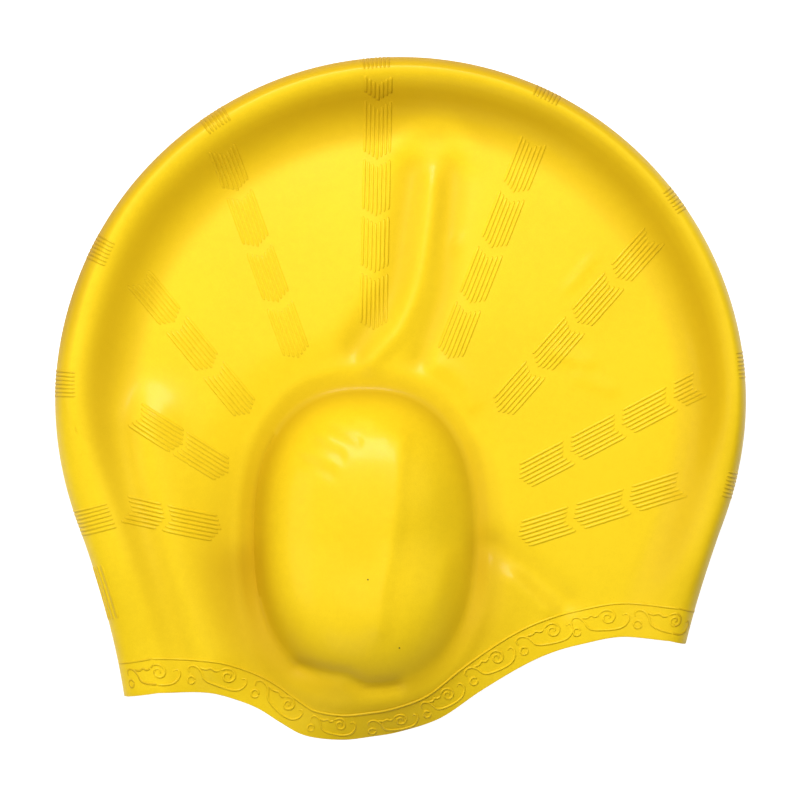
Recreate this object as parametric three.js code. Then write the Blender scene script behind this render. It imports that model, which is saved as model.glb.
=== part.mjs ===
// A silicone swim cap with an ear pouch on each side, lying on its side on a flat surface.
// Millimetres, +Z up. X runs from the nape (-X) to the forehead (+X), Y from the rim (-Y) to the crown (+Y).
// The origin is under the middle of the cap, on the surface that it lies on.
//
// The cap is one moulding: two soft layers that meet round the crown in a rolled fold,
// open along the rim. The upper layer carries a full ear pouch, and the lower layer's
// pouch is pressed flat by the cap's own weight.

import * as THREE from "three";

// Driving dimensions of the outline, seen from above.
const CROWN_RADIUS = 115;
const CROWN_CENTRE_Y = -1;
const CROWN_END_ANGLE = 20.4; // degrees below the horizontal where the round crown ends on each side
const NAPE_CORNER = { x: -92.4, y: -99.1 };
const NAPE_HANDLE = 31;
const FOREHEAD_CORNER = { x: 95.7, y: -81.5 };
const FOREHEAD_HANDLE = 18;

// Walls and levels above the surface.
const WALL = 1.1;
const RIM_WALL = 1.5;
const RIM_BAND_WIDTH = 10;
const UPPER_LEVEL = 14;
const LOWER_LEVEL = 0.8;

// The rim's edge between the two corners, from nape to forehead.
const RIM_EDGE = [
  { x: -70.2, y: -97.1 },
  { x: -61.9, y: -97.7 },
  { x: -53.5, y: -100.2 },
  { x: -46.8, y: -103.1 },
  { x: -40.1, y: -107.5 },
  { x: -31.7, y: -112.2 },
  { x: -19.9, y: -114.0 },
  { x: -9.9, y: -113.2 },
  { x: 0.2, y: -111.5 },
  { x: 13.6, y: -106.8 },
  { x: 27.0, y: -97.4 },
  { x: 40.4, y: -89.0 },
  { x: 50.5, y: -84.2 },
  { x: 60.5, y: -81.3 },
  { x: 73.9, y: -78.8 },
];
const LOWER_RIM_SETBACK = 1.2; // how far the lower layer's edge stays behind the upper one's

// The rolled fold round the crown, by its place along the crown from nape to forehead:
// how far it reaches in from the outline, how high its crest is, how wide the slope is
// that leads down from the crest to the upper layer, and how that slope falls: evenly
// where the skew is 1, and more steeply near the crest where it is less.
const ROLL = [
  { at: 0.0, reach: 12.5, crest: 17.0, slope: 15, skew: 1 },
  { at: 0.1, reach: 10.5, crest: 19.5, slope: 16, skew: 1 },
  { at: 0.22, reach: 6.2, crest: 22.5, slope: 23, skew: 0.85 },
  { at: 0.35, reach: 5.0, crest: 24.0, slope: 24, skew: 0.75 },
  { at: 0.5, reach: 4.8, crest: 25.0, slope: 24, skew: 0.7 },
  { at: 0.65, reach: 4.6, crest: 25.0, slope: 21, skew: 0.62 },
  { at: 0.82, reach: 4.6, crest: 25.0, slope: 19.5, skew: 0.7 },
  { at: 0.93, reach: 5.5, crest: 20.5, slope: 18, skew: 0.9 },
  { at: 1.0, reach: 6.5, crest: 17.0, slope: 20, skew: 1 },
];

// The ear pouch: an egg-shaped dome inside a groove, with a sunken moat round it.
const POUCH = {
  x: -11.8,
  y: -45.4,
  halfWidth: 37.2,
  halfHeight: 49.6,
  roundness: 2.4,
  rise: 10.5,
  crowning: 4,
  footing: 1.2,
  moatUnder: 2.6,
  moatBend: 1.6,
  lip: 0.35,
  lipAt: 1.13,
  lipWidth: 0.05,
};
// How full the pouch is towards each side, and how deep and wide its moat is there.
// Towards the rim the pouch props the layer up, so the moat's depth is negative.
const POUCH_SIDES = {
  crown: { fullness: 6, moatDepth: 2.2, moatWidth: 0.36 },
  nape: { fullness: 7, moatDepth: 5.2, moatWidth: 0.66 },
  rim: { fullness: 5, moatDepth: -3, moatWidth: 0.4 },
  forehead: { fullness: 3, moatDepth: 2.6, moatWidth: 0.32 },
};
const PRESSED_POUCH = { faceAt: 0.86, grooveLevel: 1.4, shoulderAt: 1.25 };

// The rim of the upper layer droops in front of the pouch.
const RIM_DROOP = { depth: 8, width: 22, x: -1, spread: 34 };

// Folds of the upper layer: a ridge is positive, a dent negative.
const FOLDS = [
  {
    height: -3,
    width: 7.0,
    path: [
      { x: 12.6, y: 83 },
      { x: 10.2, y: 67 },
      { x: 8.2, y: 50 },
      { x: 5.2, y: 36 },
      { x: 0.2, y: 24 },
      { x: -6, y: 17 },
    ],
  },
  {
    height: 3.2,
    width: 10,
    path: [
      { x: -83, y: -8 },
      { x: -79, y: -32 },
      { x: -74, y: -54 },
      { x: -69, y: -71 },
      { x: -64, y: -86 },
    ],
  },
  { height: -0.9, width: 5.5, path: [{ x: 34, y: -60 }, { x: 54, y: -73 }] },
  {
    height: 1.2,
    width: 6.0,
    path: [{ x: -5.5, y: -12 }, { x: -3.9, y: -34 }, { x: -4.5, y: -54 }, { x: -7.2, y: -71 }],
  },
];

// How finely the shell is divided.
const CROWN_COLUMNS = 50;
const RIM_COLUMNS = 22;
const POUCH_RINGS = [0.3, 0.55, 0.72, 0.82, 0.89, 0.94, 0.975, 1.0, 1.09, 1.2];
const SLOPE_RINGS = [0.16, 0.34, 0.52, 0.67, 0.78, 0.86, 0.92, 0.965, 1.0];
const ROLL_STEPS = 6;
const COLLAR = 1.2; // the last ring round the pouch, from which the rings reach out to the outline
const COLLAR_ANGLES = { nape: 205, forehead: 355 }; // where the collar faces the two rim corners
const CURVE_SAMPLES = 240;

const smooth = (t) => {
  const c = THREE.MathUtils.clamp(t, 0, 1);
  return c * c * c * (c * (6 * c - 15) + 10);
};
const bell = (t) => Math.exp(-t * t);
const flat = (x, y) => new THREE.Vector2(x, y);

// The crown's outline as one path from the nape corner to the forehead corner.
function crownPath() {
  const end = THREE.MathUtils.degToRad(CROWN_END_ANGLE);
  const arcEnd = (side) =>
    flat(side * CROWN_RADIUS * Math.cos(end), CROWN_CENTRE_Y - CROWN_RADIUS * Math.sin(end));
  const handle = (side, length) =>
    arcEnd(side).add(flat(-side * Math.sin(end), -Math.cos(end)).multiplyScalar(length));
  const napeCorner = flat(NAPE_CORNER.x, NAPE_CORNER.y);
  const foreheadCorner = flat(FOREHEAD_CORNER.x, FOREHEAD_CORNER.y);
  const path = new THREE.CurvePath();
  path.add(new THREE.QuadraticBezierCurve(napeCorner, handle(-1, NAPE_HANDLE), arcEnd(-1)));
  path.add(
    new THREE.EllipseCurve(0, CROWN_CENTRE_Y, CROWN_RADIUS, CROWN_RADIUS, Math.PI + end, -end, true),
  );
  path.add(new THREE.QuadraticBezierCurve(arcEnd(1), handle(1, FOREHEAD_HANDLE), foreheadCorner));
  return path;
}

const crown = crownPath();
crown.arcLengthDivisions = CURVE_SAMPLES;

// A point of the crown's outline, with the direction that leads straight into the cap.
function crownPoint(at) {
  const point = crown.getPointAt(at);
  const along = crown.getTangentAt(at);
  return { point, inward: flat(along.y, -along.x) };
}

// The roll's measures at a place along the crown.
function rollAt(at) {
  const next = Math.max(1, ROLL.findIndex((row) => row.at >= at));
  const [a, b] = [ROLL[next - 1], ROLL[next]];
  const share = smooth((at - a.at) / (b.at - a.at));
  const mix = (name) => a[name] + (b[name] - a[name]) * share;
  return { reach: mix("reach"), crest: mix("crest"), slope: mix("slope"), skew: mix("skew") };
}

// How far a point has come down the roll's slope: 0 on the crest and 1 on the layer inside it.
const pastRoll = (distance, { reach, slope, skew }) =>
  smooth(THREE.MathUtils.clamp((distance - reach) / slope, 0, 1) ** skew);

// Where the roll meets the upper layer, in plan.
function rollFoot(at) {
  const { point, inward } = crownPoint(at);
  return point.clone().addScaledVector(inward, rollAt(at).reach);
}

const rim = new THREE.SplineCurve([
  rollFoot(0),
  ...RIM_EDGE.map(({ x, y }) => flat(x, y)),
  rollFoot(1),
]);
rim.arcLengthDivisions = CURVE_SAMPLES;

const crownSamples = Array.from({ length: CURVE_SAMPLES + 1 }, (_, i) => {
  const at = i / CURVE_SAMPLES;
  return { at, point: crown.getPointAt(at) };
});
const rimSamples = rim.getSpacedPoints(CURVE_SAMPLES);

// The distance from a point to a line of points, and how far along the line its nearest point is.
function nearest(x, y, points) {
  let best = { distance: Infinity, at: 0 };
  for (let i = 1; i < points.length; i++) {
    const [a, b] = [points[i - 1], points[i]];
    const [dx, dy] = [b.x - a.x, b.y - a.y];
    const share = THREE.MathUtils.clamp(
      ((x - a.x) * dx + (y - a.y) * dy) / (dx * dx + dy * dy),
      0,
      1,
    );
    const distance = Math.hypot(x - a.x - dx * share, y - a.y - dy * share);
    if (distance < best.distance) best = { distance, at: (i - 1 + share) / (points.length - 1) };
  }
  return best;
}

const crownLine = crownSamples.map(({ point }) => point);

// How far out a point lies from the pouch's middle: 0 there and 1 in the groove.
function pouchRadius(x, y) {
  const across = Math.abs((x - POUCH.x) / POUCH.halfWidth) ** POUCH.roundness;
  const along = Math.abs((y - POUCH.y) / POUCH.halfHeight) ** POUCH.roundness;
  return (across + along) ** (1 / POUCH.roundness);
}

// The pouch's measures towards a point, mixed from the two sides that it lies between.
function pouchSide(x, y) {
  const angle = Math.atan2(y - POUCH.y, x - POUCH.x);
  const across = Math.cos(angle) < 0 ? POUCH_SIDES.nape : POUCH_SIDES.forehead;
  const along = Math.sin(angle) < 0 ? POUCH_SIDES.rim : POUCH_SIDES.crown;
  const mix = (name) => along[name] + (across[name] - along[name]) * Math.cos(angle) ** 2;
  return { fullness: mix("fullness"), moatDepth: mix("moatDepth"), moatWidth: mix("moatWidth") };
}

function pouchHeight(x, y) {
  const r = pouchRadius(x, y);
  const { fullness, moatDepth, moatWidth } = pouchSide(x, y);
  const inner = Math.min(r, 1);
  const dome = POUCH.rise * (1 - inner ** fullness) ** POUCH.footing + POUCH.crowning * (1 - inner ** 2);
  const depth = POUCH.moatUnder + (moatDepth - POUCH.moatUnder) * smooth(r);
  const moat = -depth * (1 - THREE.MathUtils.clamp((r - 1) / moatWidth, 0, 1)) ** POUCH.moatBend;
  const lip = POUCH.lip * bell((r - POUCH.lipAt) / POUCH.lipWidth);
  return dome + moat + lip;
}

function foldHeight(x, y) {
  return FOLDS.reduce((sum, { height, width, path }) => {
    const { distance } = nearest(x, y, path);
    return sum + height * bell(distance / width);
  }, 0);
}

// The height of the upper layer's outer face.
function upperHeight(x, y) {
  const { distance, at } = nearest(x, y, crownLine);
  const roll = rollAt(at);
  const nearRim = Math.max(0, 1 - nearest(x, y, rimSamples).distance / RIM_DROOP.width);
  const droop = RIM_DROOP.depth * nearRim ** 2 * bell((x - RIM_DROOP.x) / RIM_DROOP.spread);
  const level = UPPER_LEVEL + pouchHeight(x, y) + foldHeight(x, y) - droop;
  return roll.crest + (level - roll.crest) * pastRoll(distance, roll);
}

// The height of the lower layer's outer face: its pouch is flat on the surface.
function lowerHeight(x, y) {
  const r = pouchRadius(x, y);
  const { distance, at } = nearest(x, y, crownLine);
  const roll = rollAt(at);
  if (r <= PRESSED_POUCH.faceAt) return 0;
  const { faceAt, grooveLevel, shoulderAt } = PRESSED_POUCH;
  const level =
    r < 1
      ? grooveLevel * smooth((r - faceAt) / (1 - faceAt))
      : LOWER_LEVEL + (grooveLevel - LOWER_LEVEL) * (1 - smooth((r - 1) / (shoulderAt - 1)));
  return level * pastRoll(distance, roll);
}

// The columns run once round the cap: along the crown from nape to forehead, and back along the rim.
const columns = [];
for (let i = 0; i <= CROWN_COLUMNS; i++) {
  const at = i / CROWN_COLUMNS;
  columns.push({ crownAt: at, edge: rollFoot(at), lowerEdge: rollFoot(at) });
}
for (let i = 1; i < RIM_COLUMNS; i++) {
  const at = 1 - i / RIM_COLUMNS;
  const edge = rim.getPointAt(at);
  const setback = LOWER_RIM_SETBACK * Math.sin(Math.PI * at);
  columns.push({ edge, lowerEdge: flat(edge.x, edge.y + setback) });
}

// The collar point that a column starts from.
function collarPoint(index) {
  const { nape, forehead } = COLLAR_ANGLES;
  const crownTurn = nape - (forehead - 360);
  const degrees =
    index <= CROWN_COLUMNS
      ? nape - (crownTurn * index) / CROWN_COLUMNS
      : forehead - ((forehead - nape) * (index - CROWN_COLUMNS)) / RIM_COLUMNS;
  const angle = THREE.MathUtils.degToRad(degrees);
  const direction = flat(Math.cos(angle), Math.sin(angle));
  const reach = COLLAR / pouchRadius(POUCH.x + direction.x, POUCH.y + direction.y);
  return flat(POUCH.x, POUCH.y).addScaledVector(direction, reach);
}

// One layer's outer points in a column, from the ring nearest the pouch's middle to the edge.
function layerPoints(index, edge, height) {
  const middle = flat(POUCH.x, POUCH.y);
  const collar = collarPoint(index);
  const plan = [
    ...POUCH_RINGS.map((ring) => middle.clone().lerp(collar, ring / COLLAR)),
    ...SLOPE_RINGS.map((share) => collar.clone().lerp(edge, share)),
  ];
  return plan.map(({ x, y }) => new THREE.Vector3(x, y, height(x, y)));
}

// The roll between the layers: half an ellipse that stands on the outline.
function rollPoints(at) {
  const { point, inward } = crownPoint(at);
  const { reach, crest } = rollAt(at);
  return Array.from({ length: ROLL_STEPS - 1 }, (_, i) => {
    const turn = (Math.PI * (i + 1)) / ROLL_STEPS;
    const plan = point.clone().addScaledVector(inward, reach * (1 - Math.sin(turn)));
    return new THREE.Vector3(plan.x, plan.y, (crest / 2) * (1 + Math.cos(turn)));
  });
}

// The shell's outer face: points, triangles, and the loop of points round its open rim.
function outerFace() {
  const points = [];
  const triangles = [];
  const add = (point) => points.push(point) - 1;
  const pole = (height) => add(new THREE.Vector3(POUCH.x, POUCH.y, height(POUCH.x, POUCH.y)));
  const upperPole = pole(upperHeight);
  const lowerPole = pole(lowerHeight);
  const grid = columns.map((column, index) => ({
    upper: layerPoints(index, column.edge, upperHeight).map(add),
    roll: column.crownAt === undefined ? [] : rollPoints(column.crownAt).map(add),
    lower: layerPoints(index, column.lowerEdge, lowerHeight).map(add).reverse(),
  }));
  const strip = (left, right) => {
    for (let j = 1; j < left.length; j++) {
      triangles.push([left[j - 1], right[j], left[j]], [left[j - 1], right[j - 1], right[j]]);
    }
  };
  grid.forEach((column, index) => {
    const next = grid[(index + 1) % grid.length];
    triangles.push([upperPole, next.upper[0], column.upper[0]]);
    triangles.push([lowerPole, column.lower.at(-1), next.lower.at(-1)]);
    if (index < CROWN_COLUMNS) {
      strip(
        [...column.upper, ...column.roll, ...column.lower],
        [...next.upper, ...next.roll, ...next.lower],
      );
    } else {
      strip(column.upper, next.upper);
      strip(column.lower, next.lower);
    }
  });
  const foreheadCut = grid[CROWN_COLUMNS].roll;
  const napeCut = grid[0].roll;
  const rimColumns = [...grid.slice(CROWN_COLUMNS), grid[0]];
  const loop = [
    ...rimColumns.map((column) => column.upper.at(-1)),
    ...napeCut,
    ...rimColumns.map((column) => column.lower[0]).reverse(),
    ...[...foreheadCut].reverse(),
  ];
  return { points, triangles, loop };
}

// The average direction of the triangles round each point.
function pointNormals(points, triangles) {
  const normals = points.map(() => new THREE.Vector3());
  for (const corners of triangles) {
    const [a, b, c] = corners.map((index) => points[index]);
    const facing = b.clone().sub(a).cross(c.clone().sub(a));
    corners.forEach((index) => normals[index].add(facing));
  }
  return normals.map((normal) => normal.normalize());
}

function wallAt({ x, y }) {
  const fromRim = nearest(x, y, rimSamples).distance;
  return WALL + (RIM_WALL - WALL) * (1 - smooth(fromRim / RIM_BAND_WIDTH));
}

// The shell is its outer face, the same face set in by the wall, and the edge between the two.
function shellGeometry() {
  const { points, triangles, loop } = outerFace();
  const normals = pointNormals(points, triangles);
  const inner = points.map((point, i) => point.clone().addScaledVector(normals[i], -wallAt(point)));
  const count = points.length;
  const faces = [
    ...triangles,
    ...triangles.map(([a, b, c]) => [a + count, c + count, b + count]),
    ...loop.flatMap((a, i) => {
      const b = loop[(i + 1) % loop.length];
      return [
        [a, b, a + count],
        [b, b + count, a + count],
      ];
    }),
  ];
  const geometry = new THREE.BufferGeometry().setFromPoints([...points, ...inner]);
  geometry.setIndex(faces.flat());
  geometry.computeVertexNormals();
  return geometry;
}

const silicone = new THREE.MeshStandardMaterial({ color: 0xf5cd1c, roughness: 0.38, metalness: 0 });
const shell = new THREE.Mesh(shellGeometry(), silicone);
shell.name = "cap_shell";

const cap = new THREE.Group();
cap.add(shell);

export default cap;
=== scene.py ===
"""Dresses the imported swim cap: its silicone skin, grip ribs, scrolled rim and the studio round it."""

import logging
import math
from dataclasses import dataclass, field
from enum import Enum
from typing import Callable, Sequence, Union

import bpy
import numpy as np
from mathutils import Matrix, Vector


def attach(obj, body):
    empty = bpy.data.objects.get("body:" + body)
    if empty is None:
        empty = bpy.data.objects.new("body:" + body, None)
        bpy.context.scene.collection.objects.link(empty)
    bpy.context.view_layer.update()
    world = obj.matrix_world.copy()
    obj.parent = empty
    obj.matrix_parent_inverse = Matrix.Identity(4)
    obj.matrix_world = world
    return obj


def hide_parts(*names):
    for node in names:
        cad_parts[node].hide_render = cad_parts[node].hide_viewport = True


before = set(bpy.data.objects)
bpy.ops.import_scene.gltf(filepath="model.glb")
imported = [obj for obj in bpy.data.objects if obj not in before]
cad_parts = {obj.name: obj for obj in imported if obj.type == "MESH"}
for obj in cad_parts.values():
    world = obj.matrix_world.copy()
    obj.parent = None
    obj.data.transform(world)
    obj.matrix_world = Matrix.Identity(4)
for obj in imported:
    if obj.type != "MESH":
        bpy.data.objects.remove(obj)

logging.basicConfig(level=logging.INFO, format="%(message)s")
log = logging.getLogger("swim_cap")

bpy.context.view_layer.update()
MM = 0.001
Array = np.ndarray
Face = tuple[Array, Array]  # points of a face, and the directions straight out of it
Seat = Callable[[Array, Array], Face]  # gives the face under places along and across a raised line


def smooth(share: Array) -> Array:
    """Eases a share from 0 to 1 with no kink at either end."""
    t = np.clip(share, 0.0, 1.0)
    return t * t * t * (t * (6.0 * t - 15.0) + 10.0)


def bell(offset: Array) -> Array:
    """A rounded bump: 1 in the middle, and near 0 beyond twice the width."""
    return np.exp(-offset * offset)


@dataclass(frozen=True)
class Ramp:
    """An eased rise from 0 to 1: where it starts and how wide it is."""

    start: float
    width: float

    def up(self, value: Array) -> Array:
        """0 before the rise and 1 beyond it."""
        return smooth((value - self.start) / self.width)

    def down(self, value: Array) -> Array:
        """1 before the rise and 0 beyond it."""
        return 1 - self.up(value)


def deselect_all() -> None:
    """Leaves nothing selected, so that an operator acts on new geometry alone."""
    if bpy.context.object is not None and bpy.context.object.mode != "OBJECT":
        bpy.ops.object.mode_set(mode="OBJECT")
    bpy.ops.object.select_all(action="DESELECT")


def make_active(piece: bpy.types.Object) -> None:
    """Selects one object and makes it the active one.

    Args:
        piece: the object that the next operators act on.
    """
    deselect_all()
    piece.select_set(True)
    bpy.context.view_layer.objects.active = piece


def place_points(piece: bpy.types.Object, points: Array) -> None:
    """Moves a mesh's points to places given in millimetres.

    Args:
        piece: the object whose mesh is shaped.
        points: one row of x, y and z for each point, in millimetres.
    """
    piece.data.vertices.foreach_set("co", (points * MM).astype(np.float32).ravel())
    piece.data.update()


def mesh_points(piece: bpy.types.Object) -> Array:
    """Reads a mesh's points.

    Args:
        piece: the object whose mesh is read.

    Returns:
        One row of x, y and z for each point, in metres.
    """
    flat = np.empty(len(piece.data.vertices) * 3)
    piece.data.vertices.foreach_get("co", flat)
    return flat.reshape(-1, 3)


def turn_outwards(piece: bpy.types.Object, weld: bool = False) -> None:
    """Turns every face of a piece outwards.

    Args:
        piece: the object whose mesh is mended.
        weld: whether its seams and poles are closed first.
    """
    make_active(piece)
    bpy.ops.object.mode_set(mode="EDIT")
    bpy.ops.mesh.select_all(action="SELECT")
    if weld:
        bpy.ops.mesh.remove_doubles(threshold=2e-6)
        bpy.ops.mesh.dissolve_degenerate(threshold=1e-6)
    bpy.ops.mesh.normals_make_consistent(inside=False)
    bpy.ops.object.mode_set(mode="OBJECT")


def add_object(name: str, data: bpy.types.ID) -> bpy.types.Object:
    """Puts a mesh, camera or light into the scene.

    Args:
        name: the new object's name.
        data: the mesh, camera or light.

    Returns:
        The new object.
    """
    made = bpy.data.objects.new(name, data)
    bpy.context.collection.objects.link(made)
    return made


class Side(Enum):
    """The four sides of the ear pouch, by what they face."""

    CROWN = "crown"
    NAPE = "nape"
    RIM = "rim"
    FOREHEAD = "forehead"


@dataclass
class Polyline:
    """A line of points in plan, evenly spaced, in millimetres."""

    points: Array

    @classmethod
    def through(cls, corners: Array, count: int) -> "Polyline":
        """Spaces points evenly along a line.

        Args:
            corners: the line's dense corners, as rows of x and y.
            count: how many steps it gets.

        Returns:
            The line, with one point more than it has steps.
        """
        steps = np.linalg.norm(np.diff(corners, axis=0), axis=1)
        along = np.concatenate([[0.0], np.cumsum(steps)])
        even = np.linspace(0.0, along[-1], count + 1)
        return cls(np.stack([np.interp(even, along, corners[:, i]) for i in (0, 1)], axis=1))

    @property
    def length(self) -> float:
        """The line's whole length."""
        return float(np.linalg.norm(np.diff(self.points, axis=0), axis=1).sum())

    def at(self, share: Array) -> Array:
        """Finds points on the line.

        Args:
            share: shares of the line's length.

        Returns:
            The points there, as rows of x and y.
        """
        places = np.asarray(share) * (len(self.points) - 1)
        index = np.arange(len(self.points))
        return np.stack([np.interp(places, index, self.points[:, i]) for i in (0, 1)], axis=-1)

    def inward(self, share: Array) -> Array:
        """Tells which way lies to the right of the line's run.

        Args:
            share: shares of the line's length.

        Returns:
            The unit directions there, as rows of x and y.
        """
        step = 0.5 / (len(self.points) - 1)
        share = np.asarray(share)
        along = self.at(np.clip(share + step, 0, 1)) - self.at(np.clip(share - step, 0, 1))
        along = along / np.linalg.norm(along, axis=-1, keepdims=True)
        return np.stack([along[..., 1], -along[..., 0]], axis=-1)

    def nearest(self, plan: Array) -> tuple[Array, Array]:
        """The distance from each point of plan to the line, and the share of its nearest place.

        Args:
            plan: points as rows of x and y.

        Returns:
            The distances, and the shares of the line's length.
        """
        distances = np.empty(len(plan))
        shares = np.empty(len(plan))
        start = self.points[:-1]
        run = np.diff(self.points, axis=0)
        squared = (run * run).sum(axis=1)
        rows = 2000  # points taken at a time, which bounds the memory
        for low in range(0, len(plan), rows):
            part = plan[low : low + rows]
            gap = ((part[:, None, :] - self.points[None]) ** 2).sum(axis=2)
            closest = gap.argmin(axis=1)
            best = np.full(len(part), np.inf)
            place = np.zeros(len(part))
            for shift in (-1, 0):
                index = np.clip(closest + shift, 0, len(run) - 1)
                offset = part - start[index]
                share = np.clip((offset * run[index]).sum(axis=1) / squared[index], 0, 1)
                miss = np.linalg.norm(offset - run[index] * share[:, None], axis=1)
                better = miss < best
                best = np.where(better, miss, best)
                place = np.where(better, (index + share) / len(run), place)
            distances[low : low + rows] = best
            shares[low : low + rows] = place
        return distances, shares


def spline(points: Sequence[tuple[float, float]], per_span: int = 24) -> Array:
    """A smooth line through points, as three.js draws its SplineCurve.

    Args:
        points: the points that it passes through.
        per_span: how many steps there are between two of them.

    Returns:
        The line's points as rows of x and y.
    """
    known = np.array(points, dtype=float)
    padded = np.vstack([known[:1], known, known[-1:]])
    t = np.linspace(0, 1, per_span, endpoint=False)[:, None]
    spans = []
    for i in range(len(known) - 1):
        p0, p1, p2, p3 = padded[i : i + 4]
        lead, trail = (p2 - p0) / 2, (p3 - p1) / 2
        cubic = 2 * p1 - 2 * p2 + lead + trail
        square = -3 * p1 + 3 * p2 - 2 * lead - trail
        spans.append(cubic * t**3 + square * t**2 + lead * t + p1)
    return np.vstack([*spans, known[-1:]])


@dataclass(frozen=True)
class RollRow:
    """The rolled fold at one place along the crown, and how much shade is painted on its slope there."""

    at: float
    reach: float
    crest: float
    slope: float
    skew: float
    tone: float


@dataclass(frozen=True)
class PouchSide:
    """How full the pouch is on one side, the sunken moat there, and how much shade is painted in the moat
    and on the flank.
    """

    side: Side
    fullness: float
    moat_depth: float
    moat_width: float
    tone: float
    tone_width: float
    flank_tone: float
    flank_width: float


@dataclass(frozen=True)
class Fold:
    """A soft ridge or dent along a path: up where the height is positive, with shade painted along it by
    its last value.

    A fold with no height only paints shade, and with a negative value it takes painted shade away, which
    paints a lighter patch.
    """

    height: float
    width: float
    path: tuple[tuple[float, float], ...]
    tone: float = 0.0


@dataclass(frozen=True)
class PaintedShadeMarks:
    """How deep the painted shade gets, and where it sets in and ends."""

    upper_from: Ramp = Ramp(4.0, 2.0)
    step: float = 0.5
    full_lean: float = 0.75
    crest_share: float = 0.8
    crest_ease: float = 2.0
    pouch_top: Ramp = Ramp(0.96, 0.06)
    pouch_calm: float = 0.7
    slope_in: Ramp = Ramp(0.0, 0.4)
    slope_out: Ramp = Ramp(0.75, 0.35)
    groove: Ramp = Ramp(0.97, 0.06)
    outer: float = 1.1
    outer_in: Ramp = Ramp(0.12, 0.16)
    outer_out: Ramp = Ramp(0.55, 0.25)
    crest: float = 0.2
    crest_width: float = 3.5
    crest_in: Ramp = Ramp(0.25, 0.2)


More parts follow.
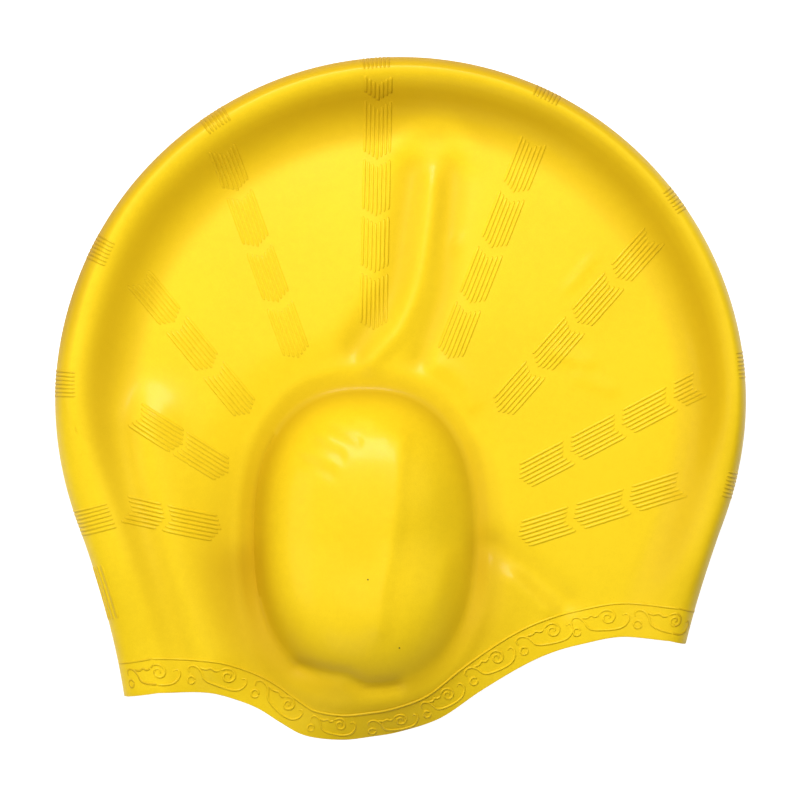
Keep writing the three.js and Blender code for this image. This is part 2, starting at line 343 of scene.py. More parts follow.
@dataclass
class CapForm:
    """The shape of the cap as it lies on its side, in millimetres.

    The outline, the layers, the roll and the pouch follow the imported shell. The folds are drawn
    finer than the shell's, and the wrinkles are here alone.
    """

    crown_radius: float = 115.0
    crown_centre_y: float = -1.0
    crown_end_angle: float = 20.4
    nape_corner: tuple[float, float] = (-92.4, -99.1)
    nape_handle: float = 31.0
    forehead_corner: tuple[float, float] = (95.7, -81.5)
    forehead_handle: float = 18.0
    wall: float = 1.1
    upper_level: float = 14.0
    lower_level: float = 0.8
    rim_edge: tuple[tuple[float, float], ...] = (
        (-70.2, -97.1), (-61.9, -97.7), (-53.5, -100.2), (-46.8, -103.1), (-40.1, -107.5),
        (-31.7, -112.2), (-19.9, -114.0), (-9.9, -113.2), (0.2, -111.5), (13.6, -106.8),
        (27.0, -97.4), (40.4, -89.0), (50.5, -84.2), (60.5, -81.3), (73.9, -78.8),
    )
    lower_rim_setback: float = 1.2
    # each row: at, reach, crest, slope, skew, and the shade painted on the slope
    roll: tuple[RollRow, ...] = (
        RollRow(0.0, 12.5, 17.0, 15.0, 1.0, 0.1),
        RollRow(0.1, 10.5, 19.5, 16.0, 1.0, 0.25),
        RollRow(0.22, 6.2, 22.5, 23.0, 0.85, 0.4),
        RollRow(0.35, 5.0, 24.0, 24.0, 0.75, 0.33),
        RollRow(0.5, 4.8, 25.0, 24.0, 0.7, 0.55),
        RollRow(0.65, 4.6, 25.0, 21.0, 0.62, 0.3),
        RollRow(0.82, 4.6, 25.0, 19.5, 0.7, 0.32),
        RollRow(0.93, 5.5, 20.5, 18.0, 0.9, 0.25),
        RollRow(1.0, 6.5, 17.0, 20.0, 1.0, 0.1),
    )
    pouch_x: float = -11.8
    pouch_y: float = -45.4
    pouch_half_width: float = 37.2
    pouch_half_height: float = 49.6
    pouch_roundness: float = 2.4
    pouch_rise: float = 10.5
    pouch_crowning: float = 4.0
    pouch_footing: float = 1.6
    moat_under_pouch: float = 2.6
    moat_bend: float = 1.6
    # each row: side, fullness, moat depth and width, the shade painted in the moat and how far out it
    # reaches, and the shade painted on the flank and how wide it is
    sides: tuple[PouchSide, ...] = (
        PouchSide(Side.CROWN, 6.0, 2.2, 0.36, 0.4, 0.1, 0.75, 0.09),
        PouchSide(Side.NAPE, 7.0, 5.2, 0.66, 0.8, 0.5, 0.75, 0.13),
        PouchSide(Side.RIM, 4.8, -3.0, 0.4, 0.5, 0.3, 0.4, 0.12),
        PouchSide(Side.FOREHEAD, 3.0, 2.6, 0.32, 0.65, 0.3, 0.6, 0.11),
    )
    lip: float = 0.35
    lip_at: float = 1.13
    lip_width: float = 0.05
    pressed_face_at: float = 0.86
    groove_level: float = 1.4
    shoulder_at: float = 1.25
    droop_depth: float = 8.0
    droop_width: float = 22.0
    droop_x: float = -1.0
    droop_spread: float = 34.0
    # the last value of a fold is its painted shade; a negative one is painted light that takes shade away
    folds: tuple[Fold, ...] = (
        Fold(-1.5, 5.0, ((3.9, 76), (1.0, 57.5), (-2.0, 38.4), (-9.5, 26.0), (-15, 18)), tone=0.34),
        Fold(1.1, 3.4, ((10.8, 73), (9.3, 57.6), (5.5, 38.3), (-0.7, 22.9), (-10, 13))),
        Fold(-1.3, 4.6, ((17.7, 76), (16.3, 57.5), (14.7, 38.4), (11.1, 26.7), (7.1, 14)), tone=0.34),
        Fold(3.2, 10.0, ((-83, -8), (-79, -32), (-74, -54), (-69, -71), (-64, -86))),
        Fold(-1.4, 5.0, ((31.3, -48.8), (43.8, -57.8), (55.5, -67.2))),
        Fold(0.8, 6.0, ((-3.0, -12), (-3.9, -34), (-5.5, -54), (-8.0, -71))),
    )
    wrinkles: tuple[Fold, ...] = (
        Fold(-0.45, 1.8, ((-21.5, -9.0), (-14.0, -13.8)), tone=0.1),
        Fold(-0.45, 1.8, ((-28.5, -13.5), (-19.5, -18.3)), tone=0.1),
        Fold(-0.38, 2.0, ((-32.5, -19.5), (-22.5, -23.8)), tone=0.1),
        Fold(0.0, 11.0, ((-57, -58), (-54, -75), (-46, -89)), tone=0.28),
        Fold(0.0, 9.0, ((31, -52), (33, -66), (30, -78)), tone=0.25),
        Fold(0.0, 6.0, ((-46, -1), (-51, -12), (-54, -30), (-54, -44)), tone=-0.25),
        Fold(0.0, 8.0, ((14, 11), (22, 4), (28, -4)), tone=-0.3),
        Fold(0.5, 2.8, ((0.9, -14), (-0.5, -31.4), (-2.7, -48.6), (-5.8, -62.3), (-6.5, -75))),
        Fold(0.3, 4.0, ((-2, 81.5), (3.2, 88.4), (13.1, 91), (20, 86), (23, 79)), tone=-0.3),
        Fold(0.5, 4.0, ((15.5, -54), (12.5, -65))),
        Fold(0.8, 3.5, ((38.5, -59.5), (48.8, -69.5))),
        Fold(0.6, 2.4, ((11.6, 11.5), (17, 9.4), (20.9, 5.7), (23.8, -1.3))),
        Fold(0.5, 1.8, ((18.9, 50.8), (18.9, 53.2))),
        Fold(0.5, 2.0, ((52, 16), (62, 12))),
        Fold(0.4, 1.8, ((60, 8), (70, 3))),
        Fold(0.35, 1.2, ((55.8, 37.2), (59.8, 41.5), (63.3, 46.7))),
        Fold(0.45, 2.4, ((-13.7, -4.6), (-9.5, -5.6))),
        Fold(0.4, 2.4, ((-27.0, -10.6), (-24.0, -12.0))),
        Fold(-1.3, 2.6, (
            (-33.5, -88.5), (-24, -90.3), (-18.6, -90.9), (-15, -93), (-10.5, -95.4), (-1.5, -95),
        )),
    )
    marks: PaintedShadeMarks = PaintedShadeMarks()
    samples: int = 720
    crown: Polyline = field(init=False)
    rim: Polyline = field(init=False)

    def __post_init__(self) -> None:
        """Draws the crown's outline and the rim."""
        self.crown = Polyline.through(self._crown_corners(), self.samples)
        ends = self.roll_foot(np.array([0.0, 1.0]))
        self.rim = Polyline.through(spline([tuple(ends[0]), *self.rim_edge, tuple(ends[1])]), self.samples)

    def _crown_corners(self) -> Array:
        """Draws the crown's outline: a curve, the round crown and a curve.

        Returns:
            Its dense corners from nape to forehead, as rows of x and y.
        """
        end = math.radians(self.crown_end_angle)
        centre = np.array([0.0, self.crown_centre_y])

        def side_curve(side: int, handle: float, corner: tuple[float, float]) -> Array:
            """Draws the curve from a corner up to the round crown.

            Args:
                side: -1 at the nape and 1 at the forehead.
                handle: how far the round crown's direction is held as it comes down.
                corner: where the crown meets the rim.

            Returns:
                The curve's points, from the corner up.
            """
            join = centre + self.crown_radius * np.array([side * math.cos(end), -math.sin(end)])
            bend = join + handle * np.array([-side * math.sin(end), -math.cos(end)])
            t = np.linspace(0, 1, 200)[:, None]
            return (1 - t) ** 2 * np.array(corner) + 2 * t * (1 - t) * bend + t * t * join

        angles = np.linspace(math.pi + end, -end, 900)[1:-1]
        arc = centre + self.crown_radius * np.stack([np.cos(angles), np.sin(angles)], axis=1)
        nape = side_curve(-1, self.nape_handle, self.nape_corner)
        forehead = side_curve(1, self.forehead_handle, self.forehead_corner)[::-1]
        return np.vstack([nape, arc, forehead])

    def roll_at(self, at: Array) -> tuple[Array, Array, Array, Array]:
        """The roll's measures along the crown.

        Args:
            at: shares of the crown's length.

        Returns:
            Its reach, crest, slope and skew there.
        """
        at = np.asarray(at, dtype=float)
        starts = np.array([row.at for row in self.roll])
        index = np.clip(np.searchsorted(starts, at) - 1, 0, len(self.roll) - 2)
        share = smooth((at - starts[index]) / (starts[index + 1] - starts[index]))

        def mix(name: str) -> Array:
            """One measure, eased from row to row."""
            values = np.array([getattr(row, name) for row in self.roll])
            return values[index] + (values[index + 1] - values[index]) * share

        return mix("reach"), mix("crest"), mix("slope"), mix("skew")

    @staticmethod
    def past_roll(distance: Array, reach: Array, slope: Array, skew: Array) -> Array:
        """How far a point has come down the roll's slope: 0 on the crest and 1 on the layer inside it."""
        return smooth(np.clip((distance - reach) / slope, 0, 1) ** skew)

    def roll_foot(self, at: Array) -> Array:
        """Where the roll's crest stands in plan."""
        reach = self.roll_at(at)[0]
        return self.crown.at(at) + self.crown.inward(at) * reach[:, None]

    def pouch_radius(self, plan: Array) -> Array:
        """Tells how far out points lie from the pouch's middle.

        Args:
            plan: points as rows of x and y.

        Returns:
            0 in the middle, 1 in the groove and more beyond it.
        """
        n = self.pouch_roundness
        across = np.abs((plan[:, 0] - self.pouch_x) / self.pouch_half_width) ** n
        along = np.abs((plan[:, 1] - self.pouch_y) / self.pouch_half_height) ** n
        return (across + along) ** (1 / n)

    def pouch_side(self, plan: Array, *names: str) -> list[Array]:
        """Measures of the pouch's sides over points in plan, each mixed from the two sides next to it.

        Args:
            plan: points as rows of x and y.
            names: which measures of a PouchSide are wanted.

        Returns:
            One array for each name.
        """
        angle = np.arctan2(plan[:, 1] - self.pouch_y, plan[:, 0] - self.pouch_x)
        mixed = []
        for name in names:
            of = {row.side: getattr(row, name) for row in self.sides}
            across = np.where(np.cos(angle) < 0, of[Side.NAPE], of[Side.FOREHEAD])
            along = np.where(np.sin(angle) < 0, of[Side.RIM], of[Side.CROWN])
            mixed.append(along + (across - along) * np.cos(angle) ** 2)
        return mixed

    def pouch_height(self, plan: Array) -> Array:
        """The dome of the pouch, the sunken moat round it and the lip beyond the groove.

        Args:
            plan: points as rows of x and y.

        Returns:
            What they add to the upper layer's level.
        """
        r = self.pouch_radius(plan)
        fullness, side_depth, width = self.pouch_side(plan, "fullness", "moat_depth", "moat_width")
        outward = smooth(r)
        depth = self.moat_under_pouch * (1 - outward) + side_depth * outward
        inner = np.clip(r, 0, 1)
        shoulder = (1 - inner**fullness) ** self.pouch_footing
        dome = self.pouch_rise * shoulder + self.pouch_crowning * (1 - inner**2)
        moat = -depth * (1 - np.clip((r - 1) / width, 0, 1)) ** self.moat_bend
        lip = self.lip * bell((r - self.lip_at) / self.lip_width)
        return dome + moat + lip

    def fold_height(self, plan: Array) -> Array:
        """All the soft folds and fine wrinkles of the upper layer together."""
        return self._along_folds(plan, [(fold, fold.height) for fold in self.folds + self.wrinkles])

    @staticmethod
    def _along_folds(plan: Array, amounts: Sequence[tuple[Fold, float]]) -> Array:
        """Adds up what folds do to points in plan.

        Args:
            plan: points as rows of x and y.
            amounts: folds, each with what it adds along its path, which fades to both sides.

        Returns:
            The sum for each point.
        """
        total = np.zeros(len(plan))
        for fold, amount in amounts:
            path = Polyline(np.array(spline(fold.path, 8)))
            distance, _ = path.nearest(plan)
            total += amount * bell(distance / fold.width)
        return total

    def upper_height(self, plan: Array) -> Array:
        """Works out how high the upper layer's outer face stands.

        Args:
            plan: points as rows of x and y.

        Returns:
            Its height over each point.
        """
        distance, at = self.crown.nearest(plan)
        reach, crest, slope, skew = self.roll_at(at)
        from_rim, _ = self.rim.nearest(plan)
        droop = self.droop_depth * (1 - np.clip(from_rim / self.droop_width, 0, 1)) ** 2
        droop *= bell((plan[:, 0] - self.droop_x) / self.droop_spread)
        level = self.upper_level + self.pouch_height(plan) + self.fold_height(plan) - droop
        height = crest + (level - crest) * self.past_roll(distance, reach, slope, skew)
        lean = np.clip(1 - distance / reach, 0, 1)
        return np.where(distance < reach, crest / 2 * (1 + np.sqrt(1 - lean**2)), height)

    def _rises(self, plan: Array, step: float) -> tuple[Array, Array, Array]:
        """Measures how steeply the upper layer rises.

        Args:
            plan: points as rows of x and y.
            step: how far apart it is measured.

        Returns:
            Its height over each point, and its rise along x and along y.
        """
        height = self.upper_height(plan)
        rise_x = (self.upper_height(plan + [step, 0]) - height) / step
        rise_y = (self.upper_height(plan + [0, step]) - height) / step
        return height, rise_x, rise_y

    def tone(self, plan: Array) -> Array:
        """How much shade is painted over points in plan: on slopes, in hollows, on the roll's outer side
        and crest, and along folds.

        Args:
            plan: points as rows of x and y.

        Returns:
            0 where the upper layer lies level, up to 1 where it leans most or lies in the pouch's hollow.
        """
        distance, at = self.crown.nearest(plan)
        r = self.pouch_radius(plan)
        tone = self._lean_tone(plan, distance, at, r) + self._slope_tone(distance, at)
        tone = tone + self._hollow_tone(plan, r) + self._outer_tone(distance, at)
        # folds paint shade along them, and a negative value takes it away, painting a lighter patch
        painted_fold_shade = [(fold, fold.tone) for fold in self.folds + self.wrinkles if fold.tone]
        return np.clip(tone + self._along_folds(plan, painted_fold_shade), 0, 1)

    def _lean_tone(self, plan: Array, distance: Array, at: Array, r: Array) -> Array:
        """Painted shade on faces that lean, inside the roll's crest and less of it on the pouch.

        Args:
            plan: points as rows of x and y.
            distance: how far points lie in from the crown's outline.
            at: shares of the crown's length.
            r: how far out they lie from the pouch's middle, as pouch_radius tells.

        Returns:
            The painted shade over each point.
        """
        marks = self.marks
        _, rise_x, rise_y = self._rises(plan, marks.step)
        lean = (1 - 1 / np.sqrt(1 + rise_x**2 + rise_y**2)) / marks.full_lean
        inside = smooth((distance - marks.crest_share * self.roll_at(at)[0]) / marks.crest_ease)
        return inside * lean * (1 - marks.pouch_calm * marks.pouch_top.down(r))

    def _slope_tone(self, distance: Array, at: Array) -> Array:
        """Painted shade on the slope that leads down from the roll's crest.

        Args:
            distance: how far points lie in from the crown's outline.
            at: shares of the crown's length.

        Returns:
            The painted shade over each point.
        """
        reach, _, slope, _ = self.roll_at(at)
        down = (distance - reach) / slope
        tone = np.interp(at, [row.at for row in self.roll], [row.tone for row in self.roll])
        return tone * self.marks.slope_in.up(down) * self.marks.slope_out.down(down)

    def _hollow_tone(self, plan: Array, r: Array) -> Array:
        """Painted shade on the pouch's flank and in the hollow round it.

        Args:
            plan: points as rows of x and y.
            r: how far out they lie from the pouch's middle, as pouch_radius tells.

        Returns:
            The painted shade over each point.
        """
        depth, width = self.pouch_side(plan, "tone", "tone_width")
        flank, flank_width = self.pouch_side(plan, "flank_tone", "flank_width")
        inner_side = flank * bell(np.maximum(1 - r, 0) / flank_width)
        outer_side = depth * (1 - np.clip((r - 1) / width, 0, 1))
        return inner_side + (outer_side - inner_side) * self.marks.groove.up(r)

    def _outer_tone(self, distance: Array, at: Array) -> Array:
        """Painted shade on the roll's outer side, which turns away from the light, and along its crest.

        Args:
            distance: how far points lie in from the crown's outline.
            at: shares of the crown's length.

        Returns:
            The painted shade over each point.
        """
        marks, reach = self.marks, self.roll_at(at)[0]
        turned = np.sqrt(np.clip(1 - distance / reach, 0, 1))
        outer = marks.outer * turned * marks.outer_in.up(at) * marks.outer_out.down(at)
        return outer + marks.crest * bell((distance - reach) / marks.crest_width) * marks.crest_in.up(at)

    def lower_height(self, plan: Array) -> Array:
        """Works out how high the lower layer's outer face stands: its pouch is pressed flat.

        Args:
            plan: points as rows of x and y.

        Returns:
            Its height over each point.
        """
        r = self.pouch_radius(plan)
        distance, at = self.crown.nearest(plan)
        reach, _, slope, skew = self.roll_at(at)
        rising = self.groove_level * smooth((r - self.pressed_face_at) / (1 - self.pressed_face_at))
        falling = 1 - smooth((r - 1) / (self.shoulder_at - 1))
        beyond = self.lower_level + (self.groove_level - self.lower_level) * falling
        level = np.where(r < 1, rising, beyond)
        return level * self.past_roll(distance, reach, slope, skew)

    def over_edge(self, at: Array, reach_share: Array) -> Array:
        """Points of the outer face near the crown fold.

        Args:
            at: shares along the crown.
            reach_share: 0 on the outline, 1 on the crest, more on the upper layer inside it,
                and -1 where the fold meets the surface that the cap lies on.

        Returns:
            The points as rows of x, y and z.
        """
        reach, crest, _, _ = self.roll_at(at)
        turn = np.clip(1 - reach_share, 0, 2) * math.pi / 2
        on_roll = np.abs(reach_share) < 1
        inset = np.where(on_roll, reach * (1 - np.sin(turn)), reach * np.abs(reach_share))
        plan = self.crown.at(at) + self.crown.inward(at) * inset[:, None]
        height = crest / 2 * (1 + np.cos(turn))
        beyond = reach_share >= 1
        if beyond.any():
            height[beyond] = self.upper_height(plan[beyond])
        return np.column_stack([plan, height])

    def edge_face(self, at: Array, reach_share: Array) -> Face:
        """Finds the outer face near the crown fold.

        Args:
            at: shares of the crown's length.
            reach_share: how far in from the outline, as over_edge takes it.

        Returns:
            The face there.
        """
        step = 1e-3
        points = self.over_edge(at, reach_share)
        run = self.over_edge(at + step, reach_share) - self.over_edge(at - step, reach_share)
        fall = self.over_edge(at, reach_share - step) - points
        normals = np.cross(fall, run)
        return points, normals / np.linalg.norm(normals, axis=1, keepdims=True)

    def upper_face(self, plan: Array) -> Face:
        """Finds the outer face of the upper layer.

        Args:
            plan: points as rows of x and y.

        Returns:
            The face over each point.
        """
        height, rise_x, rise_y = self._rises(plan, step=0.25)
        normal = np.column_stack([-rise_x, -rise_y, np.ones(len(plan))])
        normal /= np.linalg.norm(normal, axis=1, keepdims=True)
        return np.column_stack([plan, height]), normal

    def lower_face(self, plan: Array) -> Face:
        """The outer face of the lower layer over points in plan, taken as facing straight down."""
        return np.column_stack([plan, self.lower_height(plan)]), np.tile([0.0, 0.0, -1.0], (len(plan), 1))


def maths(operation: str, swapped: bool = False) -> Callable[["Shade", "Value"], "Shade"]:
    """Makes an operator of Shade.

    Args:
        operation: the Math node's operation.
        swapped: whether its two values change places, as in a reflected form.

    Returns:
        The operator.
    """

    def operator(this: "Shade", other: "Value") -> "Shade":
        """Adds the Math node."""
        values = (other, this) if swapped else (this, other)
        return this.sheet.node("ShaderNodeMath", {"operation": operation}, dict(enumerate(values)))

    return operator


class Shade:
    """A shader socket that maths can be written with: each operation adds its Math node."""

    def __init__(self, sheet: "NodeSheet", socket: bpy.types.NodeSocket) -> None:
        """Wraps a socket of a node on this sheet."""
        self.sheet = sheet
        self.socket = socket

    __add__, __radd__ = maths("ADD"), maths("ADD", swapped=True)
    __sub__, __rsub__ = maths("SUBTRACT"), maths("SUBTRACT", swapped=True)
    __mul__, __rmul__ = maths("MULTIPLY"), maths("MULTIPLY", swapped=True)

    def between(self, low: float, high: float) -> "Shade":
        """Tells how far the value lies from low to high, eased, and held beyond them.

        Args:
            low: the value that gives 0.
            high: the value that gives 1.

        Returns:
            The share.
        """
        settings = {"interpolation_type": "SMOOTHSTEP"}
        sockets = {"Value": self, "From Min": low, "From Max": high}
        return self.sheet.node("ShaderNodeMapRange", settings, sockets)


Value = Union[Shade, float, tuple]


class NodeSheet:
    """The node tree of one material, with one method that makes any node."""

    def __init__(self, name: str) -> None:
        """Starts a material with an empty tree and its output node.

        Args:
            name: the material's name.
        """
        self.material = bpy.data.materials.new(name)
        self.material.use_nodes = True
        self.tree = self.material.node_tree
        self.tree.nodes.clear()
        self.output = self.tree.nodes.new("ShaderNodeOutputMaterial")

    def node(self, kind: str, settings: dict, sockets: dict, out: Union[str, int] = 0) -> Shade:
        """Adds a node.

        Args:
            kind: the node's type.
            settings: the node's own settings, which are set first.
            sockets: a number, colour or link for each socket, by name or place.
            out: the output that is handed back, by name or place.

        Returns:
            The node's output, ready for more maths.
        """
        made = self.tree.nodes.new(kind)
        for name, value in settings.items():
            setattr(made, name, value)
        for name, value in sockets.items():
            self.feed(made.inputs[name], value)
        return Shade(self, made.outputs[out])

    def feed(self, socket: bpy.types.NodeSocket, value: "Value") -> None:
        """Links a socket, or sets its value.

        Args:
            socket: the input that is fed.
            value: a number, colour or link.
        """
        if isinstance(value, Shade):
            self.tree.links.new(value.socket, socket)
        else:
            socket.default_value = value

    def mix(self, share: Value, low: Value, high: Value) -> Shade:
        """Mixes two colours.

        Args:
            share: 0 for the first colour and 1 for the second.
            low: the first colour.
            high: the second.

        Returns:
            The mixed colour.
        """
        settings = {"data_type": "RGBA"}
        sockets = {"Factor": share, 6: low, 7: high}
        return self.node("ShaderNodeMix", settings, sockets, out=2)

    def finish(self, surface: Shade) -> bpy.types.Material:
        """Links the surface to the output and hands the material over."""
        self.feed(self.output.inputs["Surface"], surface)
        return self.material


@dataclass(frozen=True)
class SiliconeFinish:
    """Satin yellow silicone: an even skin with a fine grain and a soft random mottle, darker where shade is
    painted from the cap's form, with a few dark specks.
    """

    name: str = "cap_silicone"
    yellow: tuple = (0.83, 0.575, 0.012, 1.0)
    deep: tuple = (0.77, 0.52, 0.010, 1.0)
    # shaded: the colour that the painted shade darkens the skin towards
    shaded: tuple = (0.49, 0.285, 0.003, 1.0)
    glint: tuple = (1.0, 0.94, 0.68, 1.0)
    speck: tuple = (0.10, 0.06, 0.01, 1.0)
    roughness: float = 0.40
    shine: float = 0.16
    coat: float = 0.05
    coat_roughness: float = 0.16
    refraction: float = 1.43
    cloud_scale: float = 21.0
    fine_scale: float = 420.0
    grain_scale: float = 2600.0
    grain_height: float = 0.00003
    ripple_scale: float = 38.0
    ripple_height: float = 0.00022
    speck_radius: float = 0.00035
    specks: tuple[tuple[float, float], ...] = ((-10.5, -58.7), (-0.2, -81.4))

    def build(self) -> bpy.types.Material:
        """Makes the material.

        Returns:
            The material, ready to go on a piece.
        """
        sheet = NodeSheet(self.name)
        place = sheet.node("ShaderNodeTexCoord", {}, {}, out="Object")
        cloud = self._noise(sheet, place, self.cloud_scale, 3.0)
        fine = self._noise(sheet, place, self.fine_scale, 2.0)
        grain = self._noise(sheet, place, self.grain_scale, 2.0)
        # a soft random mottle between the deep and the plain yellow
        tone = (0.5 * cloud + 0.2 * fine + 0.3 * grain).between(0.36, 0.64)
        colour = sheet.mix(tone, self.deep, self.yellow)
        # painted shade: the form's attribute darkens the colour on slopes, in hollows, along creases and
        # round rib feet, and the skin is rougher there
        depth = sheet.node("ShaderNodeAttribute", {"attribute_name": "tone"}, {}, out="Fac")
        colour = sheet.mix(depth, colour, self.shaded)
        colour = sheet.mix(self._specks(sheet, place), colour, self.speck)
        ripple = self._noise(sheet, place, self.ripple_scale, 2.0)
        rough = self.roughness + 0.10 * (cloud - 0.5) + 0.06 * (fine - 0.5) + 0.3 * depth
        soft = sheet.node("ShaderNodeBump", {}, {"Distance": self.ripple_height, "Height": ripple})
        sockets = {"Distance": self.grain_height, "Height": grain, "Normal": soft}
        bump = sheet.node("ShaderNodeBump", {}, sockets)
        sockets = {
            "Base Color": colour,
            "Roughness": rough,
            "IOR": self.refraction,
            "Specular IOR Level": self.shine,
            "Specular Tint": self.glint,
            "Coat Weight": self.coat,
            "Coat Roughness": self.coat_roughness,
            "Normal": bump,
        }
        return sheet.finish(sheet.node("ShaderNodeBsdfPrincipled", {}, sockets))

    @staticmethod
    def _noise(sheet: NodeSheet, place: Shade, scale: float, detail: float) -> Shade:
        """Cloudy noise at a scale in turns to the metre."""
        return sheet.node("ShaderNodeTexNoise", {}, {"Vector": place, "Scale": scale, "Detail": detail})

    def _specks(self, sheet: NodeSheet, place: Shade) -> Shade:
        """Marks the few tiny dark specks in the skin.

        Args:
            sheet: the material's node tree.
            place: where on the piece a point is.

        Returns:
            1 on a speck and 0 elsewhere.
        """
        mask: Value = 0.0
        flat = sheet.node("ShaderNodeVectorMath", {"operation": "MULTIPLY"}, {0: place, 1: (1.0, 1.0, 0.0)})
        for x, y in self.specks:
            sockets = {0: flat, 1: (x * MM, y * MM, 0.0)}
            away = sheet.node("ShaderNodeVectorMath", {"operation": "DISTANCE"}, sockets, out="Value")
            mask = mask + (1 - away.between(self.speck_radius * 0.6, self.speck_radius))
        return mask


@dataclass(frozen=True)
class FloorFinish:
    """A plain white studio floor that glows a little, so that it stays white round the cap."""

    white: tuple = (0.35, 0.35, 0.35, 1.0)
    glow: float = 1.0

    def build(self) -> bpy.types.Material:
        """Makes the material.

        Returns:
            The material, ready to go on the floor.
        """
        sheet = NodeSheet("studio_floor")
        sockets = {
            "Base Color": self.white,
            "Roughness": 0.8,
            "Specular IOR Level": 0.1,
            "Emission Color": (1.0, 1.0, 1.0, 1.0),
            "Emission Strength": self.glow,
        }
        return sheet.finish(sheet.node("ShaderNodeBsdfPrincipled", {}, sockets))


@dataclass
class CapSkin:
    """The cap's silicone shell: the upper layer, the crown's roll and the lower layer, in one skin."""

    form: CapForm
    crown_columns: int = 250
    rim_columns: int = 110
    pouch_rings: int = 36
    upper_rings: int = 42
    lower_pouch_rings: int = 14
    lower_rings: int = 16
    roll_steps: int = 18
    collar: float = 1.2
    edge_round: float = 0.35
    edge_angle: float = 65.0
    smooth_angle: float = 50.0
    collar_nape: float = 205.0
    collar_forehead: float = -5.0

    def build(self) -> bpy.types.Object:
        """Models the shell.

        Returns:
            The finished skin, with a wall of its own thickness.
        """
        upper = self._layer("skin_upper", self.pouch_rings, self.upper_rings, self.form.upper_height, 0.0)
        setback = self.form.lower_rim_setback
        lower = self._layer(
            "skin_lower", self.lower_pouch_rings, self.lower_rings, self.form.lower_height, setback
        )
        roll = self._roll()
        skin = self._join([upper, lower, roll])
        self._thicken(skin)
        log.info("cap_skin: %d faces", len(skin.data.polygons))
        return skin

    def _edges(self, setback: float) -> Array:
        """Finds where each column ends, round the crown and back along the rim.

        Args:
            setback: how far the rim stays behind the upper layer's.

        Returns:
            The places in plan, as rows of x and y.
        """
        at = np.linspace(0, 1, self.crown_columns + 1)
        crown = self.form.roll_foot(at)
        back = np.linspace(1, 0, self.rim_columns + 1)[1:-1]
        rim = self.form.rim.at(back)
        rim[:, 1] += setback * np.sin(math.pi * back)
        return np.vstack([crown, rim])

    def _collar_points(self) -> Array:
        """Finds where each column leaves the pouch's collar.

        Returns:
            The places in plan, as rows of x and y.
        """
        crown = np.linspace(self.collar_nape, self.collar_forehead, self.crown_columns + 1)
        rim = np.linspace(self.collar_forehead, self.collar_nape - 360, self.rim_columns + 1)[1:-1]
        turn = np.radians(np.concatenate([crown, rim]))
        way = np.stack([np.cos(turn), np.sin(turn)], axis=1)
        middle = np.array([self.form.pouch_x, self.form.pouch_y])
        reach = self.collar / self.form.pouch_radius(middle + way)
        return middle + way * reach[:, None]

    def _grid(self, name: str, columns: int, rows: int) -> tuple[bpy.types.Object, Array, Array]:
        """Adds a grid.

        Args:
            name: its name.
            columns: how many columns it has.
            rows: how many rows.

        Returns:
            The grid, and the column and row of each of its points.
        """
        deselect_all()
        bpy.ops.mesh.primitive_grid_add(x_subdivisions=columns, y_subdivisions=rows, size=2.0)
        sheet = bpy.context.object
        sheet.name = name
        flat = mesh_points(sheet)
        column = np.rint((flat[:, 0] + 1) / 2 * columns).astype(int)
        row = np.rint((flat[:, 1] + 1) / 2 * rows).astype(int)
        return sheet, column, row

    def _layer(
        self, name: str, pouch_rings: int, rings: int, height: Callable[[Array], Array], setback: float
    ) -> bpy.types.Object:
        """Shapes a grid into one layer, from the pouch's middle out to the roll and the rim.

        Args:
            name: the layer's name.
            pouch_rings: how many rings lie on the pouch.
            rings: how many lie beyond its collar.
            height: gives the layer's height over points in plan.
            setback: how far the layer's rim stays behind the upper one's.

        Returns:
            The layer as an open sheet.
        """
        around = self.crown_columns + self.rim_columns
        sheet, column, row = self._grid(name, around, pouch_rings + rings)
        edge = self._edges(setback)[column % around]
        collar = self._collar_points()[column % around]
        middle = np.array([self.form.pouch_x, self.form.pouch_y])
        inner = np.clip(row / pouch_rings, 0, 1)[:, None]
        outer = np.clip((row - pouch_rings) / rings, 0, 1)[:, None]
        plan = middle + (collar - middle) * inner + (edge - collar) * outer
        place_points(sheet, np.column_stack([plan, height(plan)]))
        return sheet

    def _roll(self) -> bpy.types.Object:
        """Shapes a grid into the roll that joins the two layers round the crown.

        Returns:
            The roll as an open sheet.
        """
        sheet, column, row = self._grid("skin_roll", self.crown_columns, self.roll_steps)
        share = 1 - 2 * row / self.roll_steps
        points = self.form.over_edge(column / self.crown_columns, share)
        crest = row == 0
        points[crest, 2] = self.form.roll_at(column[crest] / self.crown_columns)[1]
        place_points(sheet, points)
        return sheet

    @staticmethod
    def _join(sheets: Sequence[bpy.types.Object]) -> bpy.types.Object:
        """Joins the sheets, closes their seams and poles, and turns every face outwards.

        Args:
            sheets: the two layers and the roll.

        Returns:
            The closed skin, with no wall yet.
        """
        make_active(sheets[0])
        for sheet in sheets[1:]:
            sheet.select_set(True)
        bpy.ops.object.join()
        skin = bpy.context.object
        skin.name = "cap_skin"
        turn_outwards(skin, weld=True)
        return skin

    def _thicken(self, skin: bpy.types.Object) -> None:
        """Gives the skin its wall and a softly rounded edge at the rim.

        Args:
            skin: the joined skin.
        """
        make_active(skin)
        wall = skin.modifiers.new("wall", "SOLIDIFY")
        wall.thickness = self.form.wall * MM
        wall.offset = -1.0
        bpy.ops.object.modifier_apply(modifier=wall.name)
        edge = skin.modifiers.new("edge", "BEVEL")
        edge.width = self.edge_round * MM
        edge.segments = 2
        edge.limit_method = "ANGLE"
        edge.angle_limit = math.radians(self.edge_angle)
        bpy.ops.object.modifier_apply(modifier=edge.name)
        bpy.ops.object.shade_smooth_by_angle(angle=math.radians(self.smooth_angle))


